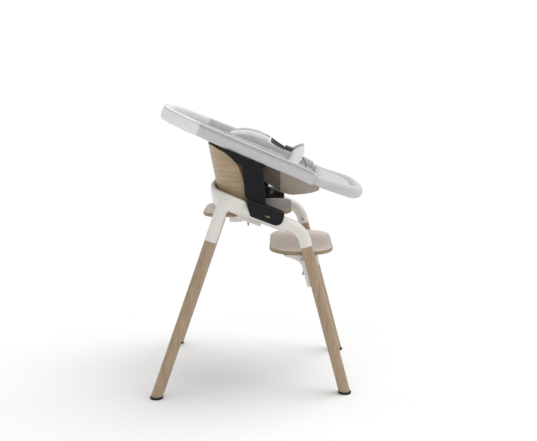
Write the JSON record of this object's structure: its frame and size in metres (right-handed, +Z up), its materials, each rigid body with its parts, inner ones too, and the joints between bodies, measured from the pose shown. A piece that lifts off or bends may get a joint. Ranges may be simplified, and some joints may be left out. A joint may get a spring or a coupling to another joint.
{
  "type": "baby high chair",
  "caption": "High chair with round wooden legs, a painted frame, sliding seat and footrest, a bent plywood backrest and a clip-on reclined fabric newborn seat with a harness.",
  "frame": {"origin": "on the floor, midway between the left and right feet and midway along the chair's length", "axes": "+Z up, -Y towards the chair's front where the child's feet point, +X towards the child's left"},
  "size_m": [0.5412, 0.6519, 0.8711],
  "materials": {
    "wood": "clear matt lacquer over light oak",
    "laminate": "satin laminate",
    "frame_paint": "satin powder coat, warm white",
    "white_plastic": "satin moulded plastic",
    "foot_rubber": "matt rubber",
    "steel": "zinc plated",
    "lever_plastic": "fine-grained moulded plastic",
    "black_plastic": "fine-grained moulded plastic",
    "indicator": "gloss",
    "ring_aluminium": "anodised",
    "cover_fabric": "fine knit",
    "sling_fabric": "plain weave",
    "head_fabric": "soft sateen",
    "pad_fabric": "soft jersey",
    "webbing": "woven webbing",
    "buckle_plastic": "fine-grained moulded plastic"
  },
  "bodies": {
    "frame": {"side_frame_left": "frame_paint", "side_frame_right": "frame_paint", "rear_collar": "white_plastic", "front_leg_left": "wood", "front_leg_right": "wood", "rear_leg_left": "wood", "rear_leg_right": "wood", "foot_front_left": "foot_rubber", "foot_front_right": "foot_rubber", "foot_rear_left": "foot_rubber", "foot_rear_right": "foot_rubber", "leg_bolts": "steel", "backrest_shell": "wood", "backrest_screws": "steel"},
    "seat": {"seat_board": "wood", "seat_laminate": "laminate", "seat_bracket": "white_plastic", "seat_slider_left": "white_plastic", "seat_slider_right": "white_plastic", "seat_screws": "steel"},
    "seat_lever_left": {"seat_lever_left": "lever_plastic"},
    "seat_lever_right": {"seat_lever_right": "lever_plastic"},
    "footrest": {"footrest_board": "wood", "footrest_laminate": "laminate", "footrest_bracket": "white_plastic", "footrest_slider_left": "white_plastic", "footrest_slider_right": "white_plastic", "footrest_screws": "steel"},
    "footrest_lever_left": {"footrest_lever_left": "lever_plastic"},
    "footrest_lever_right": {"footrest_lever_right": "lever_plastic"},
    "newborn_set": {"clamp_left": "black_plastic", "clamp_right": "black_plastic", "arm_left": "black_plastic", "arm_right": "black_plastic", "arm_bolts": "steel", "lock_indicator_left": "indicator", "lock_indicator_right": "indicator", "ring_tube": "ring_aluminium", "rim_cover": "cover_fabric", "sling": "sling_fabric", "head_pad": "head_fabric", "leg_rest_cover": "cover_fabric", "leg_rest_pad": "cover_fabric", "shoulder_strap_left": "webbing", "shoulder_strap_right": "webbing", "shoulder_pad_left": "pad_fabric", "shoulder_pad_right": "pad_fabric", "hip_pad_left": "pad_fabric", "hip_pad_right": "pad_fabric", "crotch_strap": "webbing", "buckle_body": "buckle_plastic", "buckle_tongue_left": "buckle_plastic", "buckle_tongue_right": "buckle_plastic"},
    "release_button_left": {"release_button_left": "lever_plastic"},
    "release_button_right": {"release_button_right": "lever_plastic"},
    "buckle_button": {"buckle_button": "buckle_plastic"}
  },
  "joints": [
    {"name": "seat_slide", "type": "slide", "parent": "frame", "child": "seat", "axis": [0, 0.9361, 0.3518], "range_m": [-0.06, 0.022]},
    {"name": "footrest_slide", "type": "slide", "parent": "frame", "child": "footrest", "axis": [0, 0.2562, 0.9666], "range_m": [-0.2, 0.034]},
    {"name": "newborn_set_lift", "type": "slide", "parent": "frame", "child": "newborn_set", "axis": [0, -0.3518, 0.9361], "range_m": [0, 0.12]},
    {"name": "seat_lever_left", "type": "hinge", "parent": "seat", "child": "seat_lever_left", "pos_m": [0.195, 0.02864, 0.53697], "axis": [1, 0, 0], "range_deg": [0, 25], "stiffness_Nm_per_rad": 0.05, "springref_deg": -17.19},
    {"name": "footrest_lever_left", "type": "hinge", "parent": "footrest", "child": "footrest_lever_left", "pos_m": [0.183, -0.13969, 0.38271], "axis": [1, 0, 0], "range_deg": [0, 20], "stiffness_Nm_per_rad": 0.05, "springref_deg": -17.19},
    {"name": "release_button_left", "type": "slide", "parent": "newborn_set", "child": "release_button_left", "axis": [1, 0, 0], "range_m": [0, 0.003], "stiffness_N_per_m": 400, "springref_m": -0.001},
    {"name": "seat_lever_right", "type": "hinge", "parent": "seat", "child": "seat_lever_right", "pos_m": [-0.195, 0.02864, 0.53697], "axis": [1, 0, 0], "range_deg": [0, 25], "stiffness_Nm_per_rad": 0.05, "springref_deg": -17.19},
    {"name": "footrest_lever_right", "type": "hinge", "parent": "footrest", "child": "footrest_lever_right", "pos_m": [-0.183, -0.13969, 0.38271], "axis": [1, 0, 0], "range_deg": [0, 20], "stiffness_Nm_per_rad": 0.05, "springref_deg": -17.19},
    {"name": "release_button_right", "type": "slide", "parent": "newborn_set", "child": "release_button_right", "axis": [-1, 0, 0], "range_m": [0, 0.003], "stiffness_N_per_m": 400, "springref_m": -0.001},
    {"name": "buckle_button", "type": "slide", "parent": "newborn_set", "child": "buckle_button", "axis": [0, 0.3795, -0.9252], "range_m": [0, 0.002], "stiffness_N_per_m": 400, "springref_m": -0.001}
  ]
}
